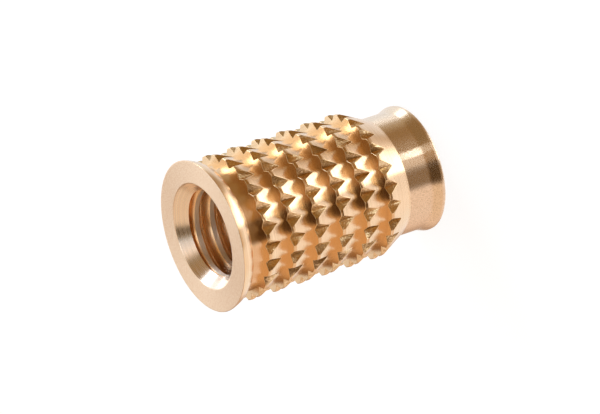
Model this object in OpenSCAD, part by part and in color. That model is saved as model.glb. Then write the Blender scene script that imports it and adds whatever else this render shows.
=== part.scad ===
// Press-in threaded insert, turned from one piece of brass bar.
// It stands on its pilot end: Z runs up the axis and out of the threaded mouth.

/* [Threaded bore] */
// Diameter inside the thread crests of an M6 coarse thread
bore_d = 5; // [4.6:0.05:5.4]
// Diameter of the countersink where it meets the flange face
mouth_d = 6.1; // [5.6:0.05:6.8]
// Included angle of the countersink
mouth_angle = 80; // [60:1:120]
// Diameter of the chamfer at the pilot end of the bore
tail_mouth_d = 5.7; // [5.5:0.05:6.2]
// Included angle of the chamfer at the pilot end
tail_mouth_angle = 90; // [60:1:120]

/* [Flange] */
// Diameter of the flange
flange_d = 8.7; // [8.4:0.05:10]
// Height of the rim around the flange face
rim_h = 0.2; // [0.1:0.01:0.6]
// Radius between the rim and the conical underside
rim_r = 0.35; // [0.05:0.01:0.5]
// Angle between the conical underside of the flange and the axis
underside_angle = 43; // [30:1:60]
// Diameter of the plain neck under the flange
neck_d = 7.3; // [6.9:0.05:7.5]
// Height of the plain neck, from the top ring to the underside
neck_h = 0.75; // [0.5:0.01:2]

/* [Barbed rings] */
// Number of rings
ring_count = 6; // [2:1:10]
// Diameter over the ring crests
crest_d = 8.34; // [8:0.02:8.8]
// Distance from one crest to the next
ring_pitch = 1.6; // [1.4:0.05:1.9]
// Width of the narrow flat on a crest
crest_flat = 0.19; // [0.02:0.01:0.25]
// Angle between the cone that leads up to the first ring and the axis
entry_angle = 26.5; // [20:0.5:32]
// Angle between the long flank of the other rings, towards the pilot, and the axis
lead_angle = 22.5; // [20:0.5:32]
// Lean of the steep flank, towards the flange, from square
back_lean = 1; // [0:0.5:20]
// Width of the plain bottom of a groove
groove_flat = 0.25; // [0.2:0.01:0.6]
// Radius at the foot of a steep flank
foot_r = 0.06; // [0.02:0.01:0.12]
// Radius that eases a groove bottom into the long flank
groove_r = 0.1; // [0.05:0.01:0.3]

/* [Notches] */
// Number of straight notches around the rings
notch_count = 23; // [12:1:28]
// Diameter of the circle that the notch bottoms lie on
notch_floor_d = 7.66; // [7.4:0.02:7.9]
// Included angle of a notch
notch_angle = 102; // [60:1:110]

/* [Pilot] */
// Diameter of the plain pilot
pilot_d = 6.8; // [6.5:0.05:7.1]
// Length of the plain pilot
pilot_h = 1.45; // [0.8:0.05:4]
// Length of the flare from the pilot out to the lip
flare_h = 0.55; // [0.3:0.05:1]
// Radius that eases the pilot into the flare
flare_r = 0.6; // [0.2:0.05:0.8]
// Diameter of the lip at the pilot end
lip_d = 7.18; // [7.12:0.02:7.5]
// Height of the lip
lip_h = 0.25; // [0.2:0.01:0.6]
// Radius on the outer edge of the lip
lip_r = 0.14; // [0.05:0.01:0.18]

/* [Hidden] */
$fn = 96;
// Straight pieces that make up one rounded corner
corner_steps = 6;
// Reach of each cutting shape past the surface that it cuts
cut_over = 0.5;

crest_r = crest_d / 2;
neck_r = neck_d / 2;
flange_r = flange_d / 2;
pilot_r = pilot_d / 2;
lip_max_r = lip_d / 2;
notch_floor_r = notch_floor_d / 2;

// Heights above the pilot end
pilot_z = lip_h + flare_h;
tail_z = pilot_z + pilot_h;
first_crest_z = tail_z + (crest_r - pilot_r) / tan(entry_angle);
last_crest_z = first_crest_z + (ring_count - 1) * ring_pitch;
neck_z = last_crest_z + crest_flat + (crest_r - neck_r) * tan(back_lean);
underside_z = neck_z + neck_h;
rim_z = underside_z + (flange_r - neck_r) / tan(underside_angle);
face_z = rim_z + rim_h;
// The radius under the rim ends below the flange face
rim_edge_r = min(rim_r, 0.9 * rim_h / tan(underside_angle / 2));

// Depth of a groove, where its two flanks leave room for the plain bottom
groove_depth = (ring_pitch - crest_flat - groove_flat) / (1 / tan(lead_angle) + tan(back_lean));
groove_bottom_r = crest_r - groove_depth;

// Turns a direction anticlockwise by an angle
function turned(v, angle) =
    [v[0] * cos(angle) - v[1] * sin(angle), v[0] * sin(angle) + v[1] * cos(angle)];

// Points of an arc that rounds the corner of an outline, tangent to both of its sides
function rounded(before, corner, after, radius) =
    let (
        u = (before - corner) / norm(before - corner),
        v = (after - corner) / norm(after - corner),
        half = acos(u * v) / 2,
        middle = (u + v) / norm(u + v),
        centre = corner + middle * radius / sin(half),
        sweep = sign(cross(u, v)) * (90 - half)
    )
    [for (i = [0 : corner_steps]) centre - radius * turned(middle, sweep * (1 - 2 * i / corner_steps))];

// Crest of one ring, and the bottom of the groove above it
function crest(z) = [[crest_r, z], [crest_r, z + crest_flat]];
function groove(z) =
    let (
        edge = [crest_r, z + crest_flat],
        foot = [groove_bottom_r, z + crest_flat + groove_depth * tan(back_lean)],
        ease = foot + [0, groove_flat],
        next = [crest_r, z + ring_pitch]
    )
    concat(rounded(edge, foot, ease, foot_r), rounded(foot, ease, next, groove_r));

// Half section of the blank, from the axis at the pilot end up to the flange face
function blank_section() = concat(
    [[0, 0]],
    rounded([0, 0], [lip_max_r, 0], [lip_max_r, lip_h], lip_r),
    [[lip_max_r, lip_h]],
    rounded([lip_max_r, lip_h], [pilot_r, pilot_z], [pilot_r, tail_z], flare_r),
    [[pilot_r, tail_z]],
    [
        for (i = [0 : ring_count - 2], p = concat(
            crest(first_crest_z + i * ring_pitch),
            groove(first_crest_z + i * ring_pitch)
        )) p
    ],
    crest(last_crest_z),
    rounded([crest_r, last_crest_z + crest_flat], [neck_r, neck_z], [neck_r, underside_z], foot_r),
    [[neck_r, underside_z]],
    rounded([neck_r, underside_z], [flange_r, rim_z], [flange_r, face_z], rim_edge_r),
    [[flange_r, face_z], [0, face_z]]
);

// Plain bore with a countersunk mouth in the flange and a chamfer at the pilot end
module bore() {
    mouth_depth = (mouth_d - bore_d) / 2 / tan(mouth_angle / 2);
    tail_depth = (tail_mouth_d - bore_d) / 2 / tan(tail_mouth_angle / 2);
    translate([0, 0, -cut_over])
        cylinder(d = bore_d, h = face_z + 2 * cut_over);
    translate([0, 0, face_z - mouth_depth])
        cylinder(
            d1 = bore_d,
            d2 = mouth_d + 2 * cut_over * tan(mouth_angle / 2),
            h = mouth_depth + cut_over
        );
    translate([0, 0, -cut_over])
        cylinder(
            d1 = tail_mouth_d + 2 * cut_over * tan(tail_mouth_angle / 2),
            d2 = bore_d,
            h = tail_depth + cut_over
        );
}

// One straight V notch that runs along the axis across every ring
module notch() {
    reach = crest_r - notch_floor_r + cut_over;
    half_width = reach * tan(notch_angle / 2);
    translate([0, 0, tail_z])
        linear_extrude(underside_z - tail_z)
            polygon([
                [notch_floor_r, 0],
                [notch_floor_r + reach, half_width],
                [notch_floor_r + reach, -half_width]
            ]);
}

module insert_body() {
    color([0.82, 0.62, 0.34])
        difference() {
            rotate_extrude()
                polygon(blank_section());
            bore();
            for (i = [0 : notch_count - 1])
                rotate(i * 360 / notch_count)
                    notch();
        }
}

insert_body();
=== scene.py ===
import math

import bmesh
import bpy
import numpy as np
from mathutils import Matrix, Vector, noise


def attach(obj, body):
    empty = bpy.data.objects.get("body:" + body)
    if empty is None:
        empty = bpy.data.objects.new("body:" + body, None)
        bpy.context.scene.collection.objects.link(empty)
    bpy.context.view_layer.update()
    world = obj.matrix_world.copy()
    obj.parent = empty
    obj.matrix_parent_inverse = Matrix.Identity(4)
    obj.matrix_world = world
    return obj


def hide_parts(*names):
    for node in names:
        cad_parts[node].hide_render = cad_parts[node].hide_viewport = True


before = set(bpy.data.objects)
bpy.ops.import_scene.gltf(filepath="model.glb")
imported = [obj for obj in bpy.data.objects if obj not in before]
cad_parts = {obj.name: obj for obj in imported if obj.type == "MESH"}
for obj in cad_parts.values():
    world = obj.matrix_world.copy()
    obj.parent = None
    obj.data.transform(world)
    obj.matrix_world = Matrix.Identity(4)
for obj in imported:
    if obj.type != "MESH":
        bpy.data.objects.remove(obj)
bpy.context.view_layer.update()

# The turned blank. The insert is cut from a bar of brass on an automatic lathe in one clamping:
# from the pilot end up, a lip and a plain pilot, six saw-tooth rings, a plain neck and a flange.
# Sizes are in mm: radii from the axis, and heights from the pilot end, on which it stands.
MM = 0.001
end_face_inner = 3.15
lip_radius = 3.59
lip_height = 0.25
lip_edge_round = 0.14
lip_top_round = 0.05
pilot_radius = 3.4
pilot_start = 0.8
flare_round = 0.6
tail_start = 2.25
tail_round = 0.06
ring_count = 6
ring_pitch = 1.6
crest_radius = 4.17
crest_width = 0.19
groove_flat = 0.25
groove_ease = 1.15
entry_slope = math.tan(math.radians(26.5))
lead_slope = math.tan(math.radians(22.5))
back_slope = math.tan(math.radians(1))
neck_radius = 3.65
neck_height = 0.75
neck_round = 0.03
shoulder_radius = 3.985
shoulder_rise = 0.157
shoulder_round = 0.05
bulge_radius = 4.2586
bulge_rise = 0.507
bulge_round = 1.85
flange_radius = 4.35
flange_edge_round = 0.015
flange_face_inner = 3.85
underside_slope = math.tan(math.radians(43))
rim_height = 0.2

first_crest = tail_start + (crest_radius - pilot_radius) / entry_slope
last_crest = first_crest + (ring_count - 1) * ring_pitch
groove_depth = (ring_pitch - crest_width - groove_flat) / (1 / lead_slope + back_slope)
neck_start = last_crest + crest_width + (crest_radius - neck_radius) * back_slope
underside = neck_start + neck_height
rim = underside + (flange_radius - neck_radius) / underside_slope
face = rim + rim_height

# Outline of the blank as radius and height, and the places along it where the mesh has rows
outline = []
row_marks = []
steps_a_row = 6


def straight_to(radius, height):
    outline.append((radius, height))
    row_marks.append(len(outline) - 1)


def arc(before, corner, after, radius, rows):
    """Points of an arc that rounds a corner and is tangent to both of its sides."""
    before, corner, after = Vector(before), Vector(corner), Vector(after)
    u = (before - corner).normalized()
    v = (after - corner).normalized()
    half = u.angle(v) / 2
    middle = (u + v).normalized()
    centre = corner + middle * radius / math.sin(half)
    sweep = math.copysign(math.pi / 2 - half, u.x * v.y - u.y * v.x)
    points = []
    for step in range(rows * steps_a_row + 1):
        turn = sweep * (1 - 2 * step / (rows * steps_a_row))
        spoke = Matrix.Rotation(turn, 2) @ middle
        points.append(tuple(centre - radius * spoke))
    return points


def round_corner(before, corner, after, radius, rows):
    first = len(outline)
    outline.extend(arc(before, corner, after, radius, rows))
    row_marks.extend(range(first, len(outline), steps_a_row))


lip_corner = (lip_radius, lip_height)
flare_corner = (pilot_radius, pilot_start)
tail_corner = (pilot_radius, tail_start)
neck_corner = (neck_radius, neck_start)
under_corner = (neck_radius, underside)
shoulder_corner = (shoulder_radius, underside + shoulder_rise)
bulge_corner = (bulge_radius, underside + bulge_rise)
edge_corner = (flange_radius, face)

straight_to(end_face_inner, 0)
round_corner((end_face_inner, 0), (lip_radius, 0), lip_corner, lip_edge_round, rows=5)
round_corner((lip_radius, 0), lip_corner, flare_corner, lip_top_round, rows=3)
round_corner(lip_corner, flare_corner, tail_corner, flare_round, rows=6)
round_corner(flare_corner, tail_corner, (crest_radius, first_crest), tail_round, rows=3)
# Each stretch between two crests has one turning place: the foot of the steep flank,
# or the end of the pilot below the first ring
turn_marks = [len(outline) - 1]
crest_marks = []
for ring in range(ring_count):
    crest = first_crest + ring * ring_pitch
    crest_marks.append(len(outline))
    outline.append((crest_radius, crest))
    outline.append((crest_radius, crest + crest_width))
    if ring < ring_count - 1:
        foot = (crest_radius - groove_depth, crest + crest_width + groove_depth * back_slope)
        ease = (foot[0], foot[1] + groove_flat)
        straight_to(*foot)
        turn_marks.append(len(outline) - 1)
        round_corner(foot, ease, (crest_radius, crest + ring_pitch), groove_ease, rows=7)
straight_to(*neck_corner)
turn_marks.append(len(outline) - 1)
round_corner(neck_corner, under_corner, shoulder_corner, neck_round, rows=2)
round_corner(under_corner, shoulder_corner, bulge_corner, shoulder_round, rows=3)
round_corner(shoulder_corner, bulge_corner, edge_corner, bulge_round, rows=8)
round_corner(bulge_corner, edge_corner, (0, face), flange_edge_round, rows=3)
straight_to(flange_face_inner, face)
flange_face_rows = 4

outline = np.array(outline)
travel = np.concatenate([[0], np.cumsum(np.hypot(*np.diff(outline, axis=0).T))])


def colour(hex_code):
    """sRGB hex code as linear RGBA."""
    parts = [int(hex_code[i : i + 2], 16) / 255 for i in (1, 3, 5)]
    return [p / 12.92 if p < 0.04045 else ((p + 0.055) / 1.055) ** 2.4 for p in parts] + [1]


def node(tree, kind, settings, inputs):
    """Adds a node with its settings; an input that is another node's socket is linked."""
    made = tree.nodes.new(kind)
    for name, value in settings.items():
        setattr(made, name, value)
    for name, value in inputs.items():
        if isinstance(value, bpy.types.NodeSocket):
            tree.links.new(value, made.inputs[name])
        else:
            made.inputs[name].default_value = value
    return made


finishes = []


def brass(name, clean, stained, roughness, mark, depth, streak, round_axis=False, stretch=1):
    """Brass with tool marks of a width and depth in mm, which also carry the stain.

    Marks run round the axis, as a lathe leaves them, or lie as a grain that can be drawn out
    along the axis. A streak spreads each highlight across the direction of turning.
    """
    material = bpy.data.materials.new(name)
    material.use_nodes = True
    tree = material.node_tree
    tree.nodes.clear()
    place = node(tree, "ShaderNodeTexCoord", {}, {}).outputs["Object"]
    if round_axis:
        flat = node(tree, "ShaderNodeVectorMath", {"operation": "MULTIPLY"}, {0: place, 1: (1, 1, 0)})
        reach = node(tree, "ShaderNodeVectorMath", {"operation": "LENGTH"}, {0: flat.outputs["Vector"]})
        split = node(tree, "ShaderNodeSeparateXYZ", {}, {"Vector": place})
        section = {"X": reach.outputs["Value"], "Y": split.outputs["Z"]}
        place = node(tree, "ShaderNodeCombineXYZ", {}, section).outputs["Vector"]
    drawn = node(
        tree,
        "ShaderNodeVectorMath",
        {"operation": "MULTIPLY"},
        {0: place, 1: (1, 1, 1 / stretch)},
    )
    marks = node(
        tree,
        "ShaderNodeTexNoise",
        {},
        {"Vector": drawn.outputs["Vector"], "Scale": 1 / (mark * MM), "Detail": 3.0},
    )
    bump = node(
        tree,
        "ShaderNodeBump",
        {},
        {"Height": marks.outputs["Fac"], "Distance": depth * MM, "Strength": 1.0},
    )
    spread = node(
        tree,
        "ShaderNodeMapRange",
        {},
        {"Value": marks.outputs["Fac"], "From Min": 0.35, "From Max": 0.65, "To Min": 0.0, "To Max": 1.0},
    )
    rough = node(
        tree,
        "ShaderNodeMapRange",
        {},
        {"Value": spread.outputs["Result"], "To Min": roughness * 0.8, "To Max": roughness * 1.2},
    )
    tone = node(
        tree,
        "ShaderNodeMix",
        {"data_type": "RGBA"},
        {"Factor": spread.outputs["Result"], 6: colour(clean), 7: colour(stained)},
    )
    along = node(tree, "ShaderNodeTangent", {"direction_type": "RADIAL", "axis": "Z"}, {})
    shader = node(
        tree,
        "ShaderNodeBsdfPrincipled",
        {},
        {
            "Base Color": tone.outputs[2],
            "Metallic": 1.0,
            "Roughness": rough.outputs["Result"],
            "Normal": bump.outputs["Normal"],
            "Anisotropic": streak,
            "Anisotropic Rotation": 0.25,
            "Tangent": along.outputs["Tangent"],
        },
    )
    node(tree, "ShaderNodeOutputMaterial", {}, {"Surface": shader.outputs["BSDF"]})
    finishes.append(material)
    return len(finishes) - 1


# Brass turned with a sharp tool and a fine feed: almost a mirror, with its highlights drawn
# out along the axis. Feed marks of 0.03 mm are drawn at 0.06 mm, so that they show.
bright_turned = brass(
    "bright_turned_brass",
    clean="#F8DAB1",
    stained="#F4D4AB",
    roughness=0.2,
    mark=0.06,
    depth=0.0002,
    streak=0.95,
    round_axis=True,
)
# Brass of the pilot, left as the first rough cut and tumbled: a satin grain, paler and softer.
# The grain of tumbling grit, about 0.02 mm, is drawn at 0.08 mm, so that it shows.
satin_turned = brass(
    "satin_turned_brass",
    clean="#FFECD2",
    stained="#F0DABC",
    roughness=0.25,
    mark=0.08,
    depth=0.002,
    streak=1.0,
)
# Brass of the flange face, cut square to the axis with a wide tool: pale, matt and even,
# with a faint speckle of 0.08 mm from the chatter of the tool.
faced = brass(
    "faced_brass",
    clean="#FFE8CE",
    stained="#F2D6B8",
    roughness=0.38,
    mark=0.08,
    depth=0.004,
    streak=0.6,
)

# The notches. Straight V grooves are broached into the brass along the axis, across all the
# rings, which leaves each ring as a row of pointed teeth with sharp, slightly torn edges.
notch_count = 23
notch_floor = 3.83
notch_half_angle = math.radians(51)
tooth_edge_round = 0.03
longest_hold = 0.05
# Tears along the edges: how many in a mm, and how deep
tears = ((6.0, 0.012), (2.3, 0.008))
notch_reach = notch_half_angle - math.asin(notch_floor / crest_radius * math.sin(notch_half_angle))
notch_period = 2 * math.pi / notch_count
land = notch_period - 2 * notch_reach
offsets = [notch_reach * i / 4 for i in range(-4, 5)]
columns_in_notch = len(offsets) - 1
offsets += [notch_reach + land * i / 4 for i in range(1, 4)]
columns_each = len(offsets)
columns = columns_each * notch_count

# Brass that the broach cut across the grain of the bar: torn streaks that glitter, twice as
# long as wide, with brown in their hollows. Streaks of 0.03 mm are drawn at 0.07 mm to show.
notched = brass(
    "notched_brass",
    clean="#FFEAC4",
    stained="#D6B884",
    roughness=0.22,
    mark=0.07,
    depth=0.014,
    streak=0.0,
    stretch=2,
)
# Brass of the tooth edges, which the broach left as a fine burr: dull, with crumbs of about
# 0.04 mm; its pale colour is a painted highlight that draws each edge as a bright line.
painted_highlight_edge_brass = brass(
    "burred_brass_painted_highlight",
    clean="#FFE8BE",
    stained="#F4D09A",
    roughness=0.36,
    mark=0.04,
    depth=0.004,
    streak=0.0,
)


def rows_along(first, last):
    """Distances along the outline for the rows of one stretch, with rows that hold each straight."""
    marks = sorted({first, last, *[m for m in row_marks if first < m < last]})
    places = []
    for a, b in zip(marks, marks[1:]):
        places.append(travel[a])
        if b - a == 1 and travel[b] - travel[a] > 0.02:
            hold = min(longest_hold, (travel[b] - travel[a]) / 3)
            places.append(travel[a] + hold)
            places.append(travel[b] - hold)
    places.append(travel[last])
    return np.array(places)


stretches = []
for i in range(ring_count + 1):
    first = crest_marks[i - 1] + 1 if i else 0
    last = crest_marks[i] if i < ring_count else len(outline) - 1
    stretches.append((first, last, rows_along(first, last)))


def at(place):
    """Radius and height at one distance along the outline."""
    return np.array([np.interp(place, travel, outline[:, 0]), np.interp(place, travel, outline[:, 1])])


def bend(a, corner, b):
    """Three points of a small rounded edge."""
    return [a * (1 - t) ** 2 + corner * 2 * t * (1 - t) + b * t**2 for t in (0.2, 0.5, 0.8)]


def column_section(angle):
    """Half section of the notched outside at one angle from the middle of a notch."""
    cut = crest_radius
    if angle < notch_reach:
        cut = notch_floor / (math.cos(angle) - math.sin(angle) / math.tan(notch_half_angle))
    points = []
    zones = []
    for i, (first, last, places) in enumerate(stretches):
        turn = turn_marks[i]
        middle = travel[turn]
        places = places.copy()
        if i:
            # The rows of the steep flank close up towards its foot
            side = slice(first, turn + 1)
            low = np.interp(-cut, -outline[side, 0], travel[side]) + tooth_edge_round
            squeeze = (middle - low) / (middle - travel[first])
            places = np.where(places < middle, middle - (middle - places) * squeeze, places)
        if i < ring_count:
            # The rows of the groove stay, and the last two follow the edge of the tooth
            side = slice(turn, last + 1)
            high = np.interp(cut, outline[side, 0], travel[side]) - tooth_edge_round
            eased = places[-4]
            hold = min(longest_hold, (high - eased) / 3)
            places[-3:] = eased + hold, high - hold, high
        points += [at(place) for place in places]
        zones += ["turned"] * len(places)
        if i < ring_count:
            lead = at(high + tooth_edge_round)
            side = slice(crest_marks[i] + 1, turn_marks[i + 1] + 1)
            back_place = np.interp(-cut, -outline[side, 0], travel[side])
            back = at(back_place)
            step = np.array([0, tooth_edge_round])
            points += bend(at(high), lead, lead + step)
            points += [lead + step, back - step]
            points += bend(back - step, back, at(back_place + tooth_edge_round))
            zones += ["edge"] * 3 + ["top"] * 2 + ["edge"] * 3
    return np.array(points), zones


# Points of the outside, column by column round the axis; every column has the same rows
sections = {}
angles = []
vertices = []
for notch in range(notch_count):
    for offset in offsets:
        key = round(min(abs(offset), abs(notch_period - offset)), 9)
        if key not in sections:
            sections[key] = column_section(key)
        section, zones = sections[key]
        angle = notch * notch_period + offset
        angles.append(angle)
        for (radius, height), zone in zip(section, zones):
            spot = Vector((radius * math.cos(angle), radius * math.sin(angle), height))
            if zone == "edge":
                torn = sum(noise.noise(spot * count) * depth for count, depth in tears)
                spot.x *= 1 + torn / radius
                spot.y *= 1 + torn / radius
            vertices.append(spot)
rows = len(zones)
# The satin of the pilot ends in the middle of the small corner below the first ring
pilot_rows = int(np.searchsorted(stretches[0][2], travel[turn_marks[0]])) - 2

faces = []
face_finish = []
for column in range(columns):
    near = column * rows
    far = (column + 1) % columns * rows
    in_notch = column % columns_each < columns_in_notch
    for row in range(rows - 1):
        faces.append((near + row, far + row, far + row + 1, near + row + 1))
        finish = bright_turned
        # The tooth edges take the paler brass: a painted highlight along each edge
        if zones[row] == "edge" and zones[row + 1] == "edge":
            finish = painted_highlight_edge_brass
        if zones[row] == "top" and zones[row + 1] == "top" and in_notch:
            finish = notched
        if row < pilot_rows:
            finish = satin_turned
        if row >= rows - flange_face_rows:
            finish = faced
        face_finish.append(finish)

# The threaded bore. The hole is bored through the brass, countersunk at the flange, chamfered
# at the pilot end and tapped with a right-hand M6 coarse thread, cut into the wall.
bore_radius = 2.5
thread_depth = 0.5
thread_pitch = 1.0
thread_crest = 0.297
thread_root = 0.125
thread_flank = thread_depth * math.tan(math.radians(30))
thread_start = 0.32
thread_rounds = (0.02, 0.02, 0.05, 0.05)
mouth_radius = 3.05
mouth_slope = math.tan(math.radians(40))
mouth_end = face - (mouth_radius - bore_radius) / mouth_slope
runout = 0.02
tail_radius = 2.85
tail_slope = math.tan(math.radians(45))
edge_break = 0.02
cone_heights = [mouth_end, mouth_end + 0.03, face - 0.05, face - edge_break]

# Brass that the tap cut and rubbed: smooth and deep in colour, with marks of 0.05 mm that
# follow the turn.
tapped = brass(
    "tapped_brass",
    clean="#FFDFB5",
    stained="#F4CC9F",
    roughness=0.26,
    mark=0.05,
    depth=0.0002,
    streak=0.8,
    round_axis=True,
)
# Brass of the drilled wall that is left on the thread crests: dull, with drill marks of 0.05 mm;
# its pale grey, near white colour is a painted highlight for the bright crest bands.
painted_highlight_crest_brass = brass(
    "bored_brass_painted_highlight",
    clean="#FFF4E8",
    stained="#FFEEDC",
    roughness=0.7,
    mark=0.05,
    depth=0.0004,
    streak=0.9,
    round_axis=True,
)
# Brass of the countersink and the chamfer, cut with a turning cutter, with visible rings of
# 0.05 mm; its silvery, near white colour is a painted sheen of the white studio on the cone.
painted_sheen_countersunk_brass = brass(
    "countersunk_brass_painted_sheen",
    clean="#FFF2E4",
    stained="#F9E8D6",
    roughness=0.26,
    mark=0.05,
    depth=0.0004,
    streak=0.7,
    round_axis=True,
)

# One turn of the thread as radius and height: crest, flank, root and flank
corners = [
    (bore_radius, -thread_crest / 2),
    (bore_radius, thread_crest / 2),
    (bore_radius + thread_depth, thread_crest / 2 + thread_flank),
    (bore_radius + thread_depth, thread_crest / 2 + thread_flank + thread_root),
]
turn_points = []
for i, corner in enumerate(corners):
    before = corners[i - 1] if i else (corners[-1][0], corners[-1][1] - thread_pitch)
    after = corners[i + 1] if i < 3 else (corners[0][0], corners[0][1] + thread_pitch)
    bit = arc(before, corner, after, thread_rounds[i], rows=2)
    turn_points += bit[::steps_a_row]
    if i in (1, 3):
        turn_points.append(tuple((np.array(bit[-1]) + np.array(after)) / 2))
per_turn = len(turn_points)
crest_rows = (2, 3)
turns = math.ceil(face / thread_pitch) + 3
thread = []
for turn in range(turns):
    for radius, height in turn_points:
        thread.append((radius, height + (turn - 2) * thread_pitch + thread_start))
thread = np.array(thread)
thread_rows = len(thread)
bore_angles = angles[::2]
bore_columns = len(bore_angles)
bore_rows = thread_rows + len(cone_heights)
bore_first = len(vertices)
for angle in bore_angles:
    # The thread climbs round the axis, and a row moves to where it meets the chamfer
    height = thread[:, 1] + thread_pitch * (angle - bore_angles[0]) / (2 * math.pi)
    radius = thread[:, 0].copy()
    gap = radius - (tail_radius - height * tail_slope)
    moved = set()
    for i in np.nonzero(gap[:-1] * gap[1:] < 0)[0]:
        share = gap[i] / (gap[i] - gap[i + 1])
        pick = i if share < 0.5 else i + 1
        if pick not in moved:
            moved.add(pick)
            new_height = height[i] + share * (height[i + 1] - height[i])
            new_radius = radius[i] + share * (thread[i + 1, 0] - radius[i])
            height[pick] = new_height
            radius[pick] = new_radius
    # It stops just below the countersink and just above the pilot end
    top = mouth_end - runout
    radius[height > top] = np.interp(top, height, radius)
    height = np.clip(height, edge_break, top)
    radius = np.maximum(radius, tail_radius - height * tail_slope)
    radius[height <= edge_break] = tail_radius - edge_break * tail_slope
    spots = list(zip(radius, height))
    spots += [(mouth_radius - (face - h) * mouth_slope, h) for h in cone_heights]
    for r, h in spots:
        vertices.append(Vector((r * math.cos(angle), r * math.sin(angle), h)))
for column in range(bore_columns):
    for row in range(bore_rows - 1):
        ends = []
        for across, up in ((0, 0), (0, 1), (1, 1), (1, 0)):
            c = column + across
            r = row + up
            if c == bore_columns:
                # After one time round, each row of the thread meets the row one turn higher
                c = 0
                if r < thread_rows:
                    r = min(r + per_turn, thread_rows - 1)
            ends.append(bore_first + c * bore_rows + r)
        faces.append(tuple(ends))
        in_chamfer = max(math.hypot(*vertices[i].xy) + vertices[i].z for i in ends) < tail_radius + 0.005
        finish = tapped
        # The thread crests take the near white brass: a painted highlight on each crest band
        if row % per_turn in crest_rows:
            finish = painted_highlight_crest_brass
        # The countersink and the chamfer take the near white brass: a painted sheen
        if row >= thread_rows or in_chamfer:
            finish = painted_sheen_countersunk_brass
        face_finish.append(finish)

# The two end faces. Flat rings of the same brass, faced square to the axis, join the outside
# of the blank to the bore: the flange face round the mouth, and the end of the pilot.
flange_rings = (3.5, 3.2, mouth_radius + 0.04, mouth_radius + 0.015)
pilot_rings = (3.0, tail_radius + 0.015)
for ring_radii, height, outer_row, bore_row, finish, up in (
    (flange_rings, face, rows - 1, bore_rows - 1, faced, True),
    (pilot_rings, 0.0, 0, 0, satin_turned, False),
):
    outer = [c * rows + outer_row for c in range(columns)]
    loops = []
    for radius in ring_radii:
        loop = []
        for angle in bore_angles:
            loop.append(len(vertices))
            vertices.append(Vector((radius * math.cos(angle), radius * math.sin(angle), height)))
        loops.append(loop)
    loops.append([bore_first + c * bore_rows + bore_row for c in range(bore_columns)])
    new_faces = []
    for c in range(bore_columns):
        d = (c + 1) % bore_columns
        a0 = outer[2 * c]
        a1 = outer[2 * c + 1]
        a2 = outer[(2 * c + 2) % columns]
        new_faces.append((a0, a1, loops[0][c]))
        new_faces.append((a1, a2, loops[0][d], loops[0][c]))
        for near, far in zip(loops, loops[1:]):
            new_faces.append((near[c], near[d], far[d], far[c]))
    for ends in new_faces:
        faces.append(ends if up else ends[::-1])
        face_finish.append(finish)

# The insert as one piece. Blank, notches, bore and end faces are one solid bar of brass, with
# nothing fixed to it, so they are one closed mesh that stands still on the table.
same_place = 1e-8
sharpest_smooth = math.radians(35)
mesh = bpy.data.meshes.new("threaded_insert")
mesh.from_pydata([tuple(v * MM) for v in vertices], [], faces)
mesh.polygons.foreach_set("material_index", face_finish)
mesh.polygons.foreach_set("use_smooth", [True] * len(faces))
for material in finishes:
    mesh.materials.append(material)
shape = bmesh.new()
shape.from_mesh(mesh)
bmesh.ops.remove_doubles(shape, verts=shape.verts, dist=same_place)
bmesh.ops.dissolve_degenerate(shape, edges=shape.edges, dist=same_place)
bmesh.ops.recalc_face_normals(shape, faces=shape.faces)
shape.to_mesh(mesh)
shape.free()
mesh.set_sharp_from_angle(angle=sharpest_smooth)
insert = bpy.data.objects.new("threaded_insert", mesh)
bpy.context.collection.objects.link(insert)
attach(insert, "root")
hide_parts("insert_body")

# The photographer's table, covered with a sheet of white paper that runs past the picture.
# It shows only a faint shadow, and the brass mirrors the studio in its place.
table_half = 0.4
table_drop = 0.00001
table_mesh = bpy.data.meshes.new("white_table")
table_mesh.from_pydata(
    [
        (-table_half, -table_half, 0),
        (table_half, -table_half, 0),
        (table_half, table_half, 0),
        (-table_half, table_half, 0),
    ],
    [],
    [(0, 1, 2, 3)],
)
table = bpy.data.objects.new("white_table", table_mesh)
table.location.z = -table_drop
table.visible_glossy = False
bpy.context.collection.objects.link(table)
# Matt uncoated paper: no gloss, and lit to white for the camera, so that the shadow stays faint
paper = bpy.data.materials.new("white_paper")
paper.use_nodes = True
tree = paper.node_tree
tree.nodes.clear()
matt = node(tree, "ShaderNodeBsdfDiffuse", {}, {"Color": colour("#8A9098")})
glow = node(tree, "ShaderNodeEmission", {}, {"Color": colour("#FFFFFF"), "Strength": 0.86})
both = node(tree, "ShaderNodeAddShader", {}, {0: matt.outputs["BSDF"], 1: glow.outputs["Emission"]})
path = node(tree, "ShaderNodeLightPath", {}, {})
seen = node(
    tree,
    "ShaderNodeMixShader",
    {},
    {0: path.outputs["Is Camera Ray"], 1: matt.outputs["BSDF"], 2: both.outputs["Shader"]},
)
node(tree, "ShaderNodeOutputMaterial", {}, {"Surface": seen.outputs["Shader"]})
table_mesh.materials.append(paper)

# A small white card laid on the table beside the pilot, out of the camera's sight, which puts
# a bright bar on the pilot. Corners in mm, out towards the camera and across to its right.
camera_side = math.radians(-84.946)
card_corners = [(4.8, 0.94), (7.47, 1.76), (6.96, 3.12), (4.56, 1.68)]
to_camera = Matrix.Rotation(camera_side, 3, "Z")
card_mesh = bpy.data.meshes.new("white_card")
card_mesh.from_pydata(
    [tuple(to_camera @ Vector((out, across, 0)) * MM) for out, across in card_corners],
    [],
    [(0, 1, 2, 3)],
)
card = bpy.data.objects.new("white_card", card_mesh)
card.visible_camera = False
card.visible_diffuse = False
card.visible_shadow = False
bpy.context.collection.objects.link(card)
# White card in the beam of a lamp: one even, bright patch
bright = bpy.data.materials.new("lit_white_card")
bright.use_nodes = True
tree = bright.node_tree
tree.nodes.clear()
glow = node(tree, "ShaderNodeEmission", {}, {"Color": colour("#FFFFFF"), "Strength": 2.2})
node(tree, "ShaderNodeOutputMaterial", {}, {"Surface": glow.outputs["Emission"]})
card_mesh.materials.append(bright)

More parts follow.
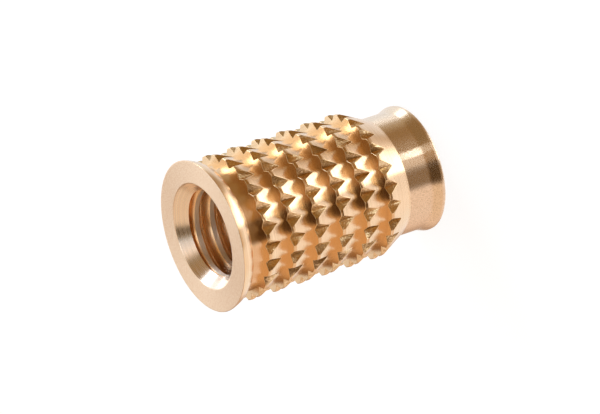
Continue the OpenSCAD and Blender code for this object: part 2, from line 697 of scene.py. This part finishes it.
# The studio round the insert: white sheets behind and to the right, brown boards on the
# camera's side with one cool strip lamp between, and the lit table below. Each ring of sheets
# stands at one height and is blended into the next; the camera itself sees plain white.
world = bpy.data.worlds.new("studio")
bpy.context.scene.world = world
world.use_nodes = True
tree = world.node_tree
tree.nodes.clear()
look = node(tree, "ShaderNodeTexCoord", {}, {})
direction = node(
    tree,
    "ShaderNodeVectorRotate",
    {"rotation_type": "Z_AXIS"},
    {"Vector": look.outputs["Generated"], "Angle": -camera_side},
)
way = node(tree, "ShaderNodeSeparateXYZ", {}, {"Vector": direction.outputs["Vector"]})
around = node(
    tree,
    "ShaderNodeMath",
    {"operation": "ARCTAN2"},
    {0: way.outputs["Y"], 1: way.outputs["X"]},
)
compass = node(
    tree,
    "ShaderNodeMapRange",
    {},
    {
        "Value": around.outputs["Value"],
        "From Min": -math.pi,
        "From Max": math.pi,
        "To Min": 0.0,
        "To Max": 1.0,
    },
)


def ring_of(sheets):
    """Light round the insert: each sheet runs from one angle to another, with its colour and level.

    Angles are in degrees from the camera's side, and count up to the camera's right.
    """
    made = node(tree, "ShaderNodeValToRGB", {}, {"Fac": compass.outputs["Result"]})
    stops = []
    for start, end, hex_code, level in sheets:
        lit = [c * level for c in colour(hex_code)[:3]] + [1]
        stops += [((start + 180) / 360, lit), ((end + 180) / 360, lit)]
    points = made.color_ramp.elements
    while len(points) < len(stops):
        points.new(0.5)
    for point, (position, lit) in zip(points, stops):
        point.position = position
    for point, (position, lit) in zip(points, stops):
        point.color = lit
    return made.outputs["Color"]


ceiling = ring_of(
    [
        (-180, -150, "#F9EDE7", 1.0),
        (-120, -76, "#F3DDC5", 1.0),
        (-58, -54, "#D7BC9B", 1.0),
        (-40, -34, "#7C6545", 1.0),
        (-20, -17, "#CBAF81", 1.0),
        (-7, 34, "#FFFFFF", 1.6),
        (46, 56, "#FFF3E7", 1.0),
        (68, 95, "#D1AD7C", 1.0),
        (112, 180, "#FFF9F3", 1.0),
    ]
)
high_walls = ring_of(
    [
        (-180, -176, "#DACBBF", 1.0),
        (-166, -152, "#957350", 1.0),
        (-130, -48, "#E5C6A6", 1.0),
        (-40, -6, "#3F2F1D", 1.0),
        (3, 12, "#9E7C59", 1.0),
        (22, 36, "#DDBC99", 1.0),
        (47, 60, "#816948", 1.0),
        (66, 98, "#99764B", 1.0),
        (110, 113, "#E1C4A2", 1.0),
        (121, 136, "#FFFFFF", 1.45),
        (146, 180, "#FFFFFF", 1.15),
    ]
)
# The strip lamp stands here, from 105 to 115 degrees
upper_walls = ring_of(
    [
        (-180, -176, "#DACBBF", 1.0),
        (-166, -152, "#8E6C4B", 1.0),
        (-130, -46, "#E5C6A6", 1.0),
        (-39, -4, "#48341F", 1.0),
        (4, 6, "#9E8161", 1.0),
        (12, 24, "#AD8E6C", 1.0),
        (34, 86, "#896E4D", 1.0),
        (93, 99, "#AA906C", 1.0),
        (105, 115, "#E4EDFF", 5.6),
        (123, 150, "#FFFFFF", 1.1),
        (160, 180, "#FFFFFF", 1.15),
    ]
)
lower_walls = ring_of(
    [
        (-180, -172, "#F9FCFF", 1.0),
        (-158, -150, "#C4A28B", 1.0),
        (-130, -45, "#EFD1BF", 1.0),
        (-38, -6, "#694B2C", 1.0),
        (3, 24, "#AC7C45", 1.0),
        (36, 78, "#906C3F", 1.0),
        (92, 100, "#B19979", 1.0),
        (114, 116, "#E1D7CE", 1.0),
        (126, 180, "#F3F6FF", 1.0),
    ]
)
skirting = ring_of(
    [
        (-180, -105, "#FFFCFF", 1.05),
        (-90, -48, "#FFF1EA", 1.0),
        (-38, -12, "#D4B189", 1.0),
        (6, 24, "#FFFFFF", 1.5),
        (36, 60, "#CEB59E", 1.0),
        (70, 105, "#B59B81", 1.0),
        (125, 180, "#F6F6FF", 1.0),
    ]
)
table_light = ring_of(
    [
        (-180, -12, "#FFFAFF", 1.12),
        (2, 68, "#FFFFFF", 3.2),
        (80, 94, "#FFF9FF", 1.2),
        (104, 120, "#E5D3C5", 1.0),
        (140, 180, "#F3EDEF", 1.0),
    ]
)
# Each ring takes over from the one above between two heights, as sines of the elevation
light = ceiling
for ring_light, top, bottom in (
    (high_walls, 0.86, 0.78),
    (upper_walls, 0.6, 0.5),
    (lower_walls, 0.06, -0.12),
    (skirting, -0.54, -0.66),
    (table_light, -0.8, -0.9),
):
    handover = node(
        tree,
        "ShaderNodeMapRange",
        {"interpolation_type": "SMOOTHSTEP"},
        {"Value": way.outputs["Z"], "From Min": top, "From Max": bottom, "To Min": 0.0, "To Max": 1.0},
    )
    blended = node(
        tree,
        "ShaderNodeMix",
        {"data_type": "RGBA"},
        {"Factor": handover.outputs["Result"], 6: light, 7: ring_light},
    )
    light = blended.outputs[2]
studio = node(tree, "ShaderNodeBackground", {}, {"Color": light, "Strength": 1.0})
white = node(tree, "ShaderNodeBackground", {}, {"Color": colour("#FFFFFF"), "Strength": 1.0})
path = node(tree, "ShaderNodeLightPath", {}, {})
seen = node(
    tree,
    "ShaderNodeMixShader",
    {},
    {0: path.outputs["Is Camera Ray"], 1: studio.outputs["Background"], 2: white.outputs["Background"]},
)
node(tree, "ShaderNodeOutputWorld", {}, {"Surface": seen.outputs["Shader"]})

# The camera. The photographer looks down on the flange at 27 degrees with a long lens, and
# the picture is turned so that the insert seems to lie with its flange at the lower left.
height_angle = math.radians(27.41)
roll = math.radians(-108.357)
aim_right = 5.357
aim_up = 1.620
picture_width = 33.0
distance = 0.6
sensor = 36
back = Vector(
    (
        math.cos(camera_side) * math.cos(height_angle),
        math.sin(camera_side) * math.cos(height_angle),
        math.sin(height_angle),
    )
)
level = Vector((0, 0, 1)).cross(back).normalized()
rise = back.cross(level)
right = level * math.cos(roll) + rise * math.sin(roll)
up = rise * math.cos(roll) - level * math.sin(roll)
aim = Vector((0, 0, face * MM)) + right * aim_right * MM + up * aim_up * MM
camera_data = bpy.data.cameras.new("camera")
camera_data.sensor_width = sensor
camera_data.lens = sensor * distance / (picture_width * MM)
camera_data.clip_start = 0.01
camera_data.clip_end = 5
camera = bpy.data.objects.new("camera", camera_data)
turned = Matrix((right, up, back)).transposed()
camera.matrix_world = Matrix.Translation(aim + back * distance) @ turned.to_4x4()
bpy.context.collection.objects.link(camera)
scene = bpy.context.scene
scene.camera = camera
scene.view_settings.view_transform = "Standard"
